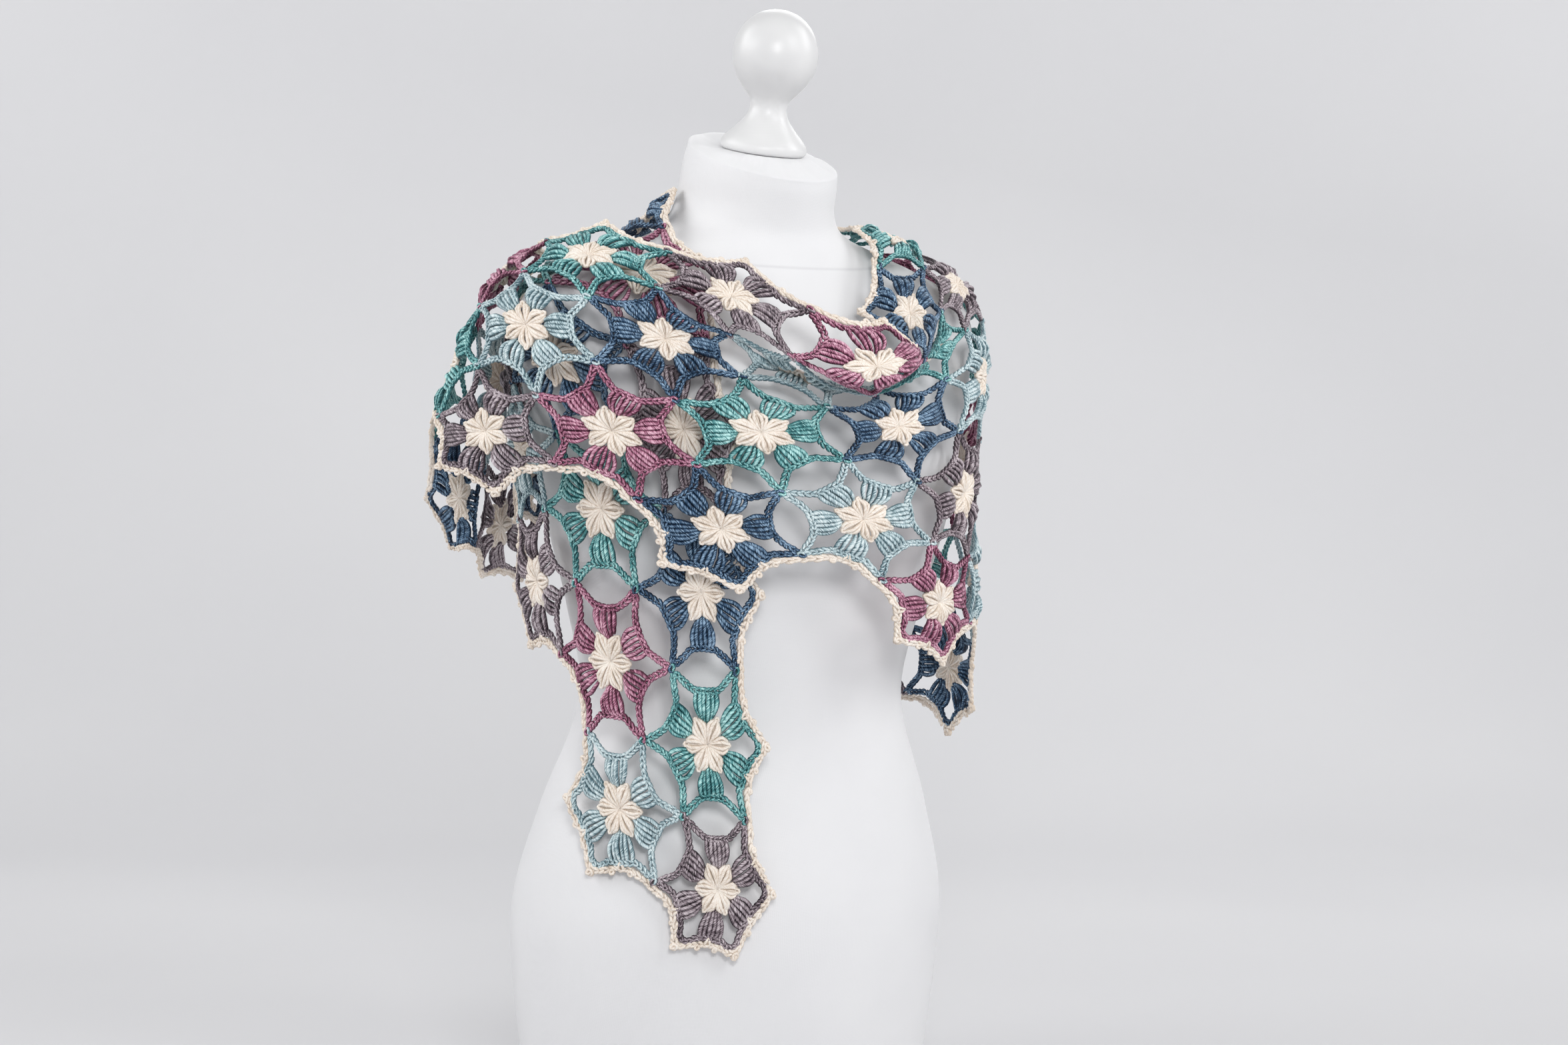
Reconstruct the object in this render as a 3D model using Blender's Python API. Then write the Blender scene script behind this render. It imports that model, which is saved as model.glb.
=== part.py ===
"""Crocheted lace shawl of joined star motifs, wound on a limbless dress form.

Metres, +Z up. The form faces -Y and stands on the plane z = 0.
The shawl is one flat layout of hexagonal motifs laid over a table of drape sections.
"""
import math

import bpy
import numpy as np
from mathutils import Vector
from mathutils.geometry import delaunay_2d_cdt

MM = 0.001

# Flat cloth, in mm. A motif's corners are knotted to its neighbours' corners.
PITCH = 100.0
ROW_STEP = PITCH * math.sqrt(3) / 2
CORNER_REACH = PITCH / math.sqrt(3)
TIP_REACH = CORNER_REACH - 1.1
TIP_HALF = 1.5
SIDE_REACH = 38.0
SIDE_HALF = 10.5
CLUSTER_MIDDLE = 28.0
STAR_POINT = 23.0
STAR_NOTCH = 17.0

# A free corner isn't pulled to a knot, so it is short and blunt, and a free side is nearly straight.
FREE_TIP_REACH = 50.0
FREE_TIP_HALF = 5.0
FREE_SIDE_REACH = 40.5

# Corner gaps, in mm: reach and half width of each pair of their points, from the star outwards.
KNOT_GAP = ((36.0, 5.6), (47.0, 0.0))
FREE_GAP = ((36.5, 8.3), (45.0, 4.5))

# Thickness of the cloth and the raised stitches on its outer side, in mm.
CLOTH_HALF = 1.5
CLUSTER_RAISE = 1.6
SIDE_RAISE = 0.5
STAR_RAISE = 0.9
NOTCH_RAISE = 0.2
POINT_RAISE = 0.4

# Cream edging, in mm. It keeps this seam from the motifs and ends in a blunt picot at each free corner.
SEAM = 0.9
EDGING_WIDTH = 4.3
EDGING_TAPER = 2.0
EDGING_CORNER_REACH = 55.0
EDGING_CORNER_HALF = 6.5
PICOT_REACH = 59.5
JOINT_INNER = 2.7
JOINT_OUTER = 6.5
EDGING_HALF = 1.4

# Strips of the edging and the share of the way round, from the over end's lower corner, where each begins and ends.
EDGING_STRIPS = (
    ("edging_neck", 0.0, 0.42),
    ("edging_front_side", 0.42, 0.71),
    ("edging_over_side", 0.71, 1.0),
)

# Rows of motifs from the neck edge to the point: row, place of the first motif, yarn of each motif.
MOTIF_ROWS = [
    (0, -3.0, "GLPTGPDTLDPGDTG"),
    (1, -2.5, "DTLDLTGPGTDTPL"),
    (2, -1.0, "GPTDLTDPGLG"),
    (3, 0.5, "DLGPGTLD"),
    (4, 2.0, "PLTPG"),
    (5, 3.5, "DG"),
]

# Steps in place and row to the neighbour across each side, and the free side where the edging begins.
NEIGHBOURS = ((1, 0), (0.5, 1), (-0.5, 1), (-1, 0), (-0.5, -1), (0.5, -1))
OVER_END_SIDE = 4

# Stretches of the wound cloth and the place where each one ends.
STRETCHES = [
    ("over_end", -0.75),
    ("chest", 2.75),
    ("left_shoulder", 4.75),
    ("back", 7.25),
    ("front_end", 99.0),
]

# Places in each row of the motifs that show best, whose corner gaps are cut.
CUT_PLACES = {
    0: (-3, 0, 1, 2, 3, 9, 10, 11),
    1: (-2.5, -0.5, 0.5, 1.5, 2.5, 9.5, 10.5),
    2: (-1, 0, 1, 2, 3, 9),
    3: (0.5, 1.5, 2.5),
    4: (2, 3),
    5: (3.5, 4.5),
}

# Drape sections. Place counts motifs along the neck edge from the over end, and each line crosses the rows there.
# Each point holds turn in degrees from the front, reach from the axis in mm and height in mm.
DRAPE_ROWS = (-0.7, 0.6, 1.8, 3.4, 5.6)
DRAPE = [
    # place, neck edge, first row, second row, fourth row, point row
    (-4, (-163, 197, 343), (-145, 227, 373), (-149, 253, 392), (-162, 298, 414), (-178, 361, 434)),
    (-3, (-150, 178, 441), (-125, 207, 440), (-141, 245, 440), (-142, 278, 421), (-147, 305, 381)),
    (-2, (-144, 164, 554), (-122, 212, 541), (-116, 252, 499), (-116, 254, 422), (-117, 249, 331)),
    (-1, (-120, 152, 642), (-99, 214, 601), (-90, 230, 521), (-88, 214, 415), (-85, 198, 294)),
    (0, (-82, 140, 659), (-69, 201, 604), (-64, 204, 521), (-55, 175, 409), (-50, 161, 275)),
    (1, (-36, 123, 630), (-37, 175, 581), (-33, 179, 518), (-21, 161, 416), (1, 145, 270)),
    (2, (-1, 151, 594), (5, 148, 558), (8, 154, 521), (20, 162, 423), (40, 147, 273)),
    (3, (12, 99, 599), (38, 134, 604), (55, 172, 562), (60, 169, 445), (71, 176, 275)),
    (4, (51, 77, 660), (81, 139, 646), (94, 198, 602), (97, 174, 458), (102, 177, 282)),
    (5, (158, 74, 672), (141, 96, 640), (136, 142, 582), (134, 158, 459), (137, 156, 286)),
    (6, (266, 63, 688), (225, 93, 642), (196, 119, 573), (174, 137, 458), (177, 146, 290)),
    (7, (317, 105, 619), (277, 183, 615), (242, 179, 568), (214, 151, 465), (207, 145, 308)),
    (8, (325, 159, 508), (296, 175, 507), (268, 190, 497), (242, 177, 435), (212, 158, 328)),
    (9, (330, 143, 391), (297, 158, 395), (264, 168, 399), (231, 182, 382), (203, 180, 335)),
    (10, (332, 130, 282), (297, 149, 287), (264, 157, 295), (225, 179, 314), (189, 200, 322)),
    (11, (334, 126, 176), (300, 147, 186), (266, 166, 195), (224, 187, 237), (174, 218, 293)),
    (12, (326, 126, 81), (291, 152, 101), (265, 171, 121), (223, 197, 167), (161, 235, 255)),
]
DRAPE_AXIS_Y = 8.0
PROBE = 0.02

# Largest folds. Each adds turn in degrees, reach in mm and height in mm around its place and row.
FOLDS = [
    # name, place, row, length, width, turn, reach, height
    ("cowl roll", 2.0, 0.25, 0.8, 0.55, -13, 37, -22),
    ("valley under the cowl", 1.35, 1.05, 0.9, 0.45, -2, -32, 0),
    ("cowl turn", 2.75, 0.3, 0.5, 0.7, 1, 12, -8),
    ("cowl corner", 2.4, -0.38, 0.6, 0.5, 7, 15, -12),
    ("cowl lip", 2.0, 0.72, 0.5, 0.35, 0, 3, -9),
    ("droop of the over end", -2.6, 1.1, 0.85, 0.8, 8, -5, -28),
    ("tuck behind the front end", 8.0, 2.6, 0.7, 0.8, -1, -5, 7),
]

CAP_LEAN = math.radians(13.0)

# Dress form sections, in mm: height, half width, half depth, centre y, roundness.
FORM = [
    (0, 154, 132, 44, 2.1),
    (40, 158, 136, 44, 2.1),
    (100, 165, 142, 42, 2.1),
    (160, 167, 140, 38, 2.15),
    (230, 150, 122, 30, 2.2),
    (310, 125, 103, 20, 2.2),
    (380, 139, 110, 14, 2.2),
    (440, 157, 116, 10, 2.25),
    (500, 170, 116, 8, 2.3),
    (550, 183, 106, 8, 2.4),
    (590, 190, 90, 8, 2.5),
    (612, 180, 76, 8, 2.5),
    (630, 146, 66, 8, 2.3),
    (645, 106, 62, 8, 2.1),
    (658, 74, 59, 6, 2.0),
    (675, 61, 58, 2, 2.0),
    (700, 58, 57, -5, 2.0),
    (712, 56, 55, -9, 2.0),
]
FORM_SEGMENTS = 36

# Rings of the dress form: height in mm and slope. The neck's rings tip forward more and more.
FORM_RINGS = [
    (0, 0), (45, 0), (95, 0), (140, 0), (180, 0), (220, 0), (265, 0), (310, 0), (350, 0), (390, 0),
    (430, 0), (465, 0), (495, 0), (525, 0), (552, 0), (575, 0), (593, 0), (607, 0), (619, 0), (630, 0),
    (640, 0.02), (650, 0.05), (660, 0.10), (673, 0.19), (690, 0.30), (712, 0.40),
]
NECK_TOP_Y = -9.0

# Rings that close the neck's top under the cap: radius, rise and slope.
SEAT_RINGS = [(51.0, 3.0, 0.40), (36.0, 4.5, math.tan(CAP_LEAN))]
BUST_SIDE = 72.0
BUST_HEIGHT = 490.0
BUST_WIDTH = 52.0
BUST_LENGTH = 58.0
BUST_GROWTH = 0.20
BUST_SPREAD = 0.15
CAP_SEGMENTS = 20
CAP_SEAM = 0.3
CAP_CROWN_RISE = 0.6

# Turned neck cap, in mm: height above its seat, radius.
CAP_PROFILE = [
    (0.0, 30.0),
    (1.5, 32.0),
    (6.0, 32.0),
    (10.0, 29.5),
    (17.0, 23.0),
    (25.0, 16.5),
    (33.0, 13.8),
    (39.0, 15.0),
    (46.0, 20.5),
    (54.0, 26.5),
    (63.0, 30.6),
    (72.0, 31.8),
    (81.0, 30.8),
    (90.0, 27.2),
    (98.0, 20.8),
    (103.5, 12.5),
    (105.0, 11.5),
]

YARNS = {
    "T": ("teal", (0.110, 0.420, 0.400)),
    "P": ("dusty pink", (0.450, 0.130, 0.240)),
    "L": ("light blue", (0.420, 0.570, 0.620)),
    "D": ("dark blue", (0.045, 0.110, 0.230)),
    "G": ("purplish grey", (0.270, 0.240, 0.290)),
    "C": ("cream", (0.780, 0.690, 0.570)),
}
YARN_ROUGHNESS = 0.75
JERSEY_COLOUR = (0.800, 0.800, 0.810)
JERSEY_ROUGHNESS = 0.85
CAP_COLOUR = (0.820, 0.820, 0.810)
CAP_ROUGHNESS = 0.35


def clear_scene():
    """Remove every object of the opening scene."""
    for obj in list(bpy.data.objects):
        bpy.data.objects.remove(obj, do_unlink=True)


def make_material(name, colour, roughness):
    """Return a Principled material."""
    mat = bpy.data.materials.new(name)
    mat.use_nodes = True
    shader = mat.node_tree.nodes["Principled BSDF"]
    shader.inputs["Base Color"].default_value = (*colour, 1.0)
    shader.inputs["Roughness"].default_value = roughness
    shader.inputs["Metallic"].default_value = 0.0
    mat.diffuse_color = (*colour, 1.0)
    return mat


def add_object(name, points, faces, materials, slots=None, smooth=False):
    """Add one mesh object from points in mm."""
    mesh = bpy.data.meshes.new(name)
    mesh.from_pydata([tuple(float(c) * MM for c in p) for p in points], [], faces)
    for mat in materials:
        mesh.materials.append(mat)
    if slots is not None:
        mesh.polygons.foreach_set("material_index", slots)
    mesh.polygons.foreach_set("use_smooth", [smooth] * len(mesh.polygons))
    mesh.validate()
    mesh.update()
    obj = bpy.data.objects.new(name, mesh)
    bpy.context.scene.collection.objects.link(obj)
    return obj


def hermite_weights(t, knots):
    """Weights of a smooth curve through the knots, one row for each value of t."""
    n = len(knots)
    i = np.clip(np.searchsorted(knots, t, side="right") - 1, 0, n - 2)
    span = knots[i + 1] - knots[i]
    s = (t - knots[i]) / span
    beyond = (s < 0) | (s > 1)
    start = np.where(beyond, 1 - s, 2 * s**3 - 3 * s**2 + 1)
    finish = np.where(beyond, s, 3 * s**2 - 2 * s**3)
    leave = np.where(beyond, 0, s**3 - 2 * s**2 + s)
    arrive = np.where(beyond, 0, s**3 - s**2)
    weights = np.zeros((len(t), n))
    rows = np.arange(len(t))
    np.add.at(weights, (rows, i), start)
    np.add.at(weights, (rows, i + 1), finish)
    for knot, slope in ((i, leave), (i + 1, arrive)):
        low = np.clip(knot - 1, 0, n - 1)
        high = np.clip(knot + 1, 0, n - 1)
        share = slope * span / (knots[high] - knots[low])
        np.add.at(weights, (rows, high), share)
        np.add.at(weights, (rows, low), -share)
    return weights


def drape(place, row):
    """Points of the cloth's middle layer in mm for places and rows."""
    place = np.asarray(place, dtype=float)
    row = np.asarray(row, dtype=float)
    places = np.array([section[0] for section in DRAPE], dtype=float)
    table = np.array([section[1:] for section in DRAPE], dtype=float)
    along = hermite_weights(place, places)
    across = hermite_weights(row, np.array(DRAPE_ROWS))
    polar = np.einsum("ni,nj,ijk->nk", along, across, table)
    for _, at, level, length, width, turn, reach, height in FOLDS:
        size = np.exp(-((place - at) / length) ** 2 - ((row - level) / width) ** 2)
        polar = polar + size[:, None] * np.array([turn, reach, height])
    angle = np.radians(polar[:, 0])
    x = polar[:, 1] * np.sin(angle)
    y = DRAPE_AXIS_Y - polar[:, 1] * np.cos(angle)
    return np.stack([x, y, polar[:, 2]], axis=1)


def on_cloth(flat, offset):
    """Map flat points in mm, with offsets to the outer side, onto the draped cloth."""
    flat = np.asarray(flat, dtype=float)
    place = flat[:, 0] / PITCH
    row = flat[:, 1] / ROW_STEP
    along = drape(place + PROBE, row) - drape(place - PROBE, row)
    across = drape(place, row + PROBE) - drape(place, row - PROBE)
    normal = np.cross(across, along)
    normal = normal / np.linalg.norm(normal, axis=1)[:, None]
    return drape(place, row) + normal * np.asarray(offset, dtype=float)[:, None]


def turned(point, degrees):
    """Rotate a flat point about the motif's centre."""
    a = math.radians(degrees)
    x = point[0] * math.cos(a) - point[1] * math.sin(a)
    y = point[0] * math.sin(a) + point[1] * math.cos(a)
    return (x, y)


def motif_template(free, with_gaps):
    """Flat points, raises and triangles of one motif, and which triangles lie in the star."""
    points = []
    raises = []
    outline = []
    star = []
    gaps = []

    def put(reach, offset, direction, height=0.0):
        points.append(turned((reach, offset), direction))
        raises.append(height)
        return len(points) - 1

    put(0.0, 0.0, 0, STAR_RAISE)
    for side in range(6):
        out = 60 * side
        corner = out + 30
        side_reach = FREE_SIDE_REACH if free[side] else SIDE_REACH
        corner_free = free[side] and free[(side + 1) % 6]
        tip_reach, tip_half = (FREE_TIP_REACH, FREE_TIP_HALF) if corner_free else (TIP_REACH, TIP_HALF)
        outline.append(put(side_reach, -SIDE_HALF, out, SIDE_RAISE))
        outline.append(put(side_reach, SIDE_HALF, out, SIDE_RAISE))
        outline.append(put(tip_reach, -tip_half, corner))
        outline.append(put(tip_reach, tip_half, corner))
        star.append(put(STAR_NOTCH, 0.0, out, NOTCH_RAISE))
        star.append(put(STAR_POINT, 0.0, corner, POINT_RAISE))
        put(CLUSTER_MIDDLE, 0.0, out, CLUSTER_RAISE)
        if with_gaps:
            gap = [star[-1]]
            shape = FREE_GAP if corner_free else KNOT_GAP
            for reach, half in shape:
                gap.append(put(reach, -half, corner))
            for reach, half in reversed(shape):
                if half > 0:
                    gap.append(put(reach, half, corner))
            gaps.append(gap)
    edges = []
    for loop in [outline, star] + gaps:
        edges += [(loop[k], loop[(k + 1) % len(loop)]) for k in range(len(loop))]
    found, _, faces, origin, _, _ = delaunay_2d_cdt([Vector(p) for p in points], edges, [outline], 1, 1e-6)
    back = [origin[k][0] for k in range(len(found))]
    triangles = []
    stars = []
    for face in faces:
        tri = [back[k] for k in face]
        middle = np.mean([points[k] for k in tri], axis=0)
        if any(inside(middle, [points[k] for k in gap]) for gap in gaps):
            continue
        triangles.append(tri)
        stars.append(inside(middle, [points[k] for k in star]))
    return np.array(points), np.array(raises), triangles, stars


def inside(point, polygon):
    """True where the point lies in the polygon."""
    hit = False
    for k in range(len(polygon)):
        x0, y0 = polygon[k]
        x1, y1 = polygon[(k + 1) % len(polygon)]
        if (y0 > point[1]) != (y1 > point[1]):
            cross = x0 + (point[1] - y0) * (x1 - x0) / (y1 - y0)
            hit = hit != (point[0] < cross)
    return hit


def plate(flat, raises, triangles, half):
    """Points and faces of a closed plate over flat triangles, outer side first."""
    count = len(flat)
    outer = on_cloth(flat, half + raises)
    inner = on_cloth(flat, np.full(count, -half))
    points = np.vstack([outer, inner])
    faces = []
    edge_use = {}
    for tri in triangles:
        for k in range(3):
            edge_use[(tri[k], tri[(k + 1) % 3])] = True
        faces.append((tri[2], tri[1], tri[0]))
    for tri in triangles:
        faces.append((tri[0] + count, tri[1] + count, tri[2] + count))
    for start, finish in edge_use:
        if (finish, start) not in edge_use:
            faces.append((start, finish, finish + count))
            faces.append((start, finish + count, start + count))
    return points, faces


def stretch_name(place):
    """Name of the stretch that holds a place."""
    for name, last in STRETCHES:
        if place < last:
            return name
    return STRETCHES[-1][0]


def build_motifs(mats):
    """Add each crocheted motif as its own plate."""
    centres = motif_centres()
    for row, first, yarns in MOTIF_ROWS:
        for k, yarn in enumerate(yarns):
            place = first + k
            free = [neighbour(place, row, side) not in centres for side in range(6)]
            points, raises, triangles, stars = motif_template(free, place in CUT_PLACES[row])
            flat = points + np.array([place * PITCH, row * ROW_STEP])
            solid, faces = plate(flat, raises, triangles, CLOTH_HALF)
            slots = [int(is_star) for is_star in stars]
            slots += [0] * (len(faces) - len(slots))
            name = f"motif_{stretch_name(place)}_row{row}_{k + 1:02d}"
            add_object(name, solid, faces, [mats[yarn], mats["C"]], slots)


def motif_centres():
    """Place and row of each motif."""
    return {(first + k, row) for row, first, yarns in MOTIF_ROWS for k in range(len(yarns))}


def neighbour(place, row, side):
    """Place and row of the motif across a side. Sides count round from the one that faces the front end."""
    step = NEIGHBOURS[side]
    return (place + step[0], row + step[1])


def boundary_sides():
    """Free sides of the layout in order round it: place, row and side."""
    centres = motif_centres()
    current = (MOTIF_ROWS[0][1], 0, OVER_END_SIDE)
    order = []
    while current not in order:
        order.append(current)
        place, row, side = current
        following = (side + 1) % 6
        beyond = neighbour(place, row, following)
        if beyond in centres:
            current = (*beyond, (following + 4) % 6)
        else:
            current = (place, row, following)
    return order


def seam_step(point, direction):
    """Flat step from a motif's edge that leaves the seam open on the stretched cloth."""
    ends = drape(*(np.array([point, point + direction]) / (PITCH, ROW_STEP)).T)
    return direction * SEAM / np.linalg.norm(ends[1] - ends[0])


def edging_pairs():
    """Inner and outer flat points of the edging, in order around the layout."""
    order = boundary_sides()
    pairs = []
    for k, (place, row, side) in enumerate(order):
        centre = np.array([place * PITCH, row * ROW_STEP])
        out = 60 * side
        away = np.array(turned((1.0, 0.0), out))
        for sign in (-1, 1):
            inner = centre + turned((FREE_SIDE_REACH, sign * SIDE_HALF), out)
            inner = inner + seam_step(inner, away)
            taper = np.array(turned((EDGING_WIDTH, -sign * EDGING_TAPER), out))
            pairs.append((inner, inner + taper))
        corner = out + 30
        away = np.array(turned((1.0, 0.0), corner))
        if order[(k + 1) % len(order)][:2] == (place, row):
            for sign, outer_reach in ((-1, EDGING_CORNER_REACH), (0, PICOT_REACH), (1, EDGING_CORNER_REACH)):
                inner = centre + turned((FREE_TIP_REACH, sign * FREE_TIP_HALF), corner)
                outer = centre + turned((outer_reach, sign * EDGING_CORNER_HALF), corner)
                pairs.append((inner + seam_step(inner, away), outer))
        else:
            joint = centre + turned((CORNER_REACH, 0.0), corner)
            away = np.array(turned((1.0, 0.0), corner - 60))
            pairs.append((joint + seam_step(joint, away) * JOINT_INNER, joint + away * JOINT_OUTER))
    return pairs


def build_edging(mats):
    """Add the cream edging as three strips that end at joints."""
    pairs = edging_pairs()
    total = len(pairs)
    for name, begin, end in EDGING_STRIPS:
        first = round(begin * total)
        last = round(end * total)
        run = [pairs[k % total] for k in range(first, last + 1)]
        for end_at, towards in ((0, 1), (-1, -2)):
            moved = []
            for here, there in zip(run[end_at], run[towards]):
                along = (there - here) / np.linalg.norm(there - here)
                moved.append(here + seam_step(here, along) / 2)
            run[end_at] = tuple(moved)
        flat = np.array([p for pair in run for p in pair])
        triangles = []
        for k in range(0, 2 * len(run) - 2, 2):
            triangles.append(facing(flat, (k, k + 2, k + 3)))
            triangles.append(facing(flat, (k, k + 3, k + 1)))
        solid, faces = plate(flat, np.zeros(len(flat)), triangles, EDGING_HALF)
        add_object(name, solid, faces, [mats["C"]])


def facing(flat, tri):
    """Order a flat triangle the same way round as the motifs' triangles."""
    a, b, c = (flat[k] for k in tri)
    area = (b[0] - a[0]) * (c[1] - a[1]) - (b[1] - a[1]) * (c[0] - a[0])
    return tuple(tri) if area > 0 else (tri[0], tri[2], tri[1])


def form_ring(height, slope):
    """One ring of the dress form. The slope tips its front down."""
    table = np.array(FORM, dtype=float)
    half_width, half_depth, middle, power = (np.interp(height, table[:, 0], table[:, k]) for k in range(1, 5))
    ring = []
    for k in range(FORM_SEGMENTS):
        a = 2 * math.pi * k / FORM_SEGMENTS
        s, c = math.sin(a), math.cos(a)
        x = half_width * math.copysign(abs(s) ** (2 / power), s)
        y = -half_depth * math.copysign(abs(c) ** (2 / power), c)
        for side in (-BUST_SIDE, BUST_SIDE):
            rise = math.exp(-((x - side) / BUST_WIDTH) ** 2 - ((height - BUST_HEIGHT) / BUST_LENGTH) ** 2)
            grow = BUST_GROWTH * rise * max(c, 0.0)
            x += x * grow * BUST_SPREAD
            y += y * grow
        ring.append((x, middle + y, height + slope * y))
    return ring


def loft(name, rings, base, crown, mat):
    """Add a closed round piece through rings, with a point at each end."""
    points = [p for ring in rings for p in ring]
    n = len(rings[0])
    faces = []
    for level in range(len(rings) - 1):
        for k in range(n):
            a = level * n + k
            b = level * n + (k + 1) % n
            faces.append((a, b, b + n))
            faces.append((a, b + n, a + n))
    last = (len(rings) - 1) * n
    for k in range(n):
        faces.append((len(points), (k + 1) % n, k))
        faces.append((len(points) + 1, last + k, last + (k + 1) % n))
    points += [base, crown]
    add_object(name, points, faces, [mat], smooth=True)


def build_form(mats):
    """Add the torso with its neck and the turned cap."""
    rings = [form_ring(height, slope) for height, slope in FORM_RINGS]
    neck_top = FORM_RINGS[-1][0]
    for radius, lift, slope in SEAT_RINGS:
        ring = []
        for k in range(FORM_SEGMENTS):
            a = 2 * math.pi * k / FORM_SEGMENTS
            ahead = radius * math.cos(a)
            ring.append((radius * math.sin(a), NECK_TOP_Y - ahead, neck_top + lift - slope * ahead))
        rings.append(ring)
    seat = neck_top + SEAT_RINGS[-1][1]
    loft("torso_form", rings, (0.0, FORM[0][3], 0.0), (0.0, NECK_TOP_Y, seat), mats["jersey"])

    up = np.array([0.0, -math.sin(CAP_LEAN), math.cos(CAP_LEAN)])
    ahead = np.array([0.0, -math.cos(CAP_LEAN), -math.sin(CAP_LEAN)])
    across = np.array([1.0, 0.0, 0.0])
    origin = np.array([0.0, NECK_TOP_Y, seat]) + up * CAP_SEAM
    rings = []
    for height, radius in CAP_PROFILE:
        ring = []
        for k in range(CAP_SEGMENTS):
            a = 2 * math.pi * k / CAP_SEGMENTS
            ring.append(origin + up * height + (across * math.sin(a) + ahead * math.cos(a)) * radius)
        rings.append(ring)
    crown = origin + up * (CAP_PROFILE[-1][0] + CAP_CROWN_RISE)
    loft("neck_cap", rings, origin, crown, mats["cap"])


def main():
    """Build the shawl and the dress form."""
    clear_scene()
    mats = {}
    for letter, (label, colour) in YARNS.items():
        mats[letter] = make_material(f"{label} yarn", colour, YARN_ROUGHNESS)
    mats["jersey"] = make_material("white jersey", JERSEY_COLOUR, JERSEY_ROUGHNESS)
    mats["cap"] = make_material("white painted cap", CAP_COLOUR, CAP_ROUGHNESS)
    build_form(mats)
    build_motifs(mats)
    build_edging(mats)


main()
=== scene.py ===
"""Looks of the crocheted lace shawl on its dress form: yarn, jersey, cap, light and camera."""
import math

import bpy
import numpy as np
from mathutils import Matrix


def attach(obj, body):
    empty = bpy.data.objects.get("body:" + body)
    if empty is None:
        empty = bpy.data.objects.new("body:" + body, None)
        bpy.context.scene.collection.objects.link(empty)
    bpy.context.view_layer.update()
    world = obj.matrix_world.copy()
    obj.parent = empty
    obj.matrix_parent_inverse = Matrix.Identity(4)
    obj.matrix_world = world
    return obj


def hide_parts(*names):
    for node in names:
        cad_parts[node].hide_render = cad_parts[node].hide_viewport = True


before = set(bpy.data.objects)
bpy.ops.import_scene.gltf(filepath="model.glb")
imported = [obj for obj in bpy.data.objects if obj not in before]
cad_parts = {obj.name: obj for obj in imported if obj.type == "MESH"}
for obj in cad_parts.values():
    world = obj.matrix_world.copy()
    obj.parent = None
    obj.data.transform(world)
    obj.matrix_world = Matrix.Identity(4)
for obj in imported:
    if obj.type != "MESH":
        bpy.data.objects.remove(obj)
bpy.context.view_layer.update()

MM = 0.001
rng = np.random.default_rng(7)

# Flat layout in mm, the same as the CAD's. A motif's row, its first place and its yarns.
PITCH = 100.0
ROW_STEP = PITCH * math.sqrt(3) / 2
CORNER_REACH = PITCH / math.sqrt(3)
MOTIF_ROWS = [
    (0, -3.0, "GLPTGPDTLDPGDTG"),
    (1, -2.5, "DTLDLTGPGTDTPL"),
    (2, -1.0, "GPTDLTDPGLG"),
    (3, 0.5, "DLGPGTLD"),
    (4, 2.0, "PLTPG"),
    (5, 3.5, "DG"),
]
NEIGHBOURS = ((1, 0), (0.5, 1), (-0.5, 1), (-1, 0), (-0.5, -1), (0.5, -1))
OVER_END_SIDE = 4
STRETCHES = [
    ("over_end", -0.75),
    ("chest", 2.75),
    ("left_shoulder", 4.75),
    ("back", 7.25),
    ("front_end", 99.0),
]
EDGING_STRIPS = (
    ("edging_neck", 0.0, 0.42),
    ("edging_front_side", 0.42, 0.71),
    ("edging_over_side", 0.71, 1.0),
)

# Drape sections, the same as the CAD's: turn in degrees, reach and height in mm. 250 of the 255 numbers in
# DRAPE, and what four rows of FOLDS move by, are the rounded result of a numerical fit to places of the
# lattice that were read off the photo. The others were set one by one.
DRAPE_ROWS = (-0.7, 0.6, 1.8, 3.4, 5.6)
DRAPE = [
    # place, neck edge, first row, second row, fourth row, point row: turn, reach, height
    (-4, (-163, 197, 343), (-145, 227, 373), (-149, 253, 392), (-162, 298, 414), (-178, 361, 434)),
    (-3, (-150, 178, 441), (-125, 207, 440), (-141, 245, 440), (-142, 278, 421), (-147, 305, 381)),
    (-2, (-144, 164, 554), (-122, 212, 541), (-116, 252, 499), (-116, 254, 422), (-117, 249, 331)),
    (-1, (-120, 152, 642), (-99, 214, 601), (-90, 230, 521), (-88, 214, 415), (-85, 198, 294)),
    (0, (-82, 140, 659), (-69, 201, 604), (-64, 204, 521), (-55, 175, 409), (-50, 161, 275)),
    (1, (-36, 123, 630), (-37, 175, 581), (-33, 179, 518), (-21, 161, 416), (1, 145, 270)),
    (2, (-1, 151, 594), (5, 148, 558), (8, 154, 521), (20, 162, 423), (40, 147, 273)),
    (3, (12, 99, 599), (38, 134, 604), (55, 172, 562), (60, 169, 445), (71, 176, 275)),
    (4, (51, 77, 660), (81, 139, 646), (94, 198, 602), (97, 174, 458), (102, 177, 282)),
    (5, (158, 74, 672), (141, 96, 640), (136, 142, 582), (134, 158, 459), (137, 156, 286)),
    (6, (266, 63, 688), (225, 93, 642), (196, 119, 573), (174, 137, 458), (177, 146, 290)),
    (7, (317, 105, 619), (277, 183, 615), (242, 179, 568), (214, 151, 465), (207, 145, 308)),
    (8, (325, 159, 508), (296, 175, 507), (268, 190, 497), (242, 177, 435), (212, 158, 328)),
    (9, (330, 143, 391), (297, 158, 395), (264, 168, 399), (231, 182, 382), (203, 180, 335)),
    (10, (332, 130, 282), (297, 149, 287), (264, 157, 295), (225, 179, 314), (189, 200, 322)),
    (11, (334, 126, 176), (300, 147, 186), (266, 166, 195), (224, 187, 237), (174, 218, 293)),
    (12, (326, 126, 81), (291, 152, 101), (265, 171, 121), (223, 197, 167), (161, 235, 255)),
]
DRAPE_AXIS_Y = 8.0
PROBE = 0.02
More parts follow.
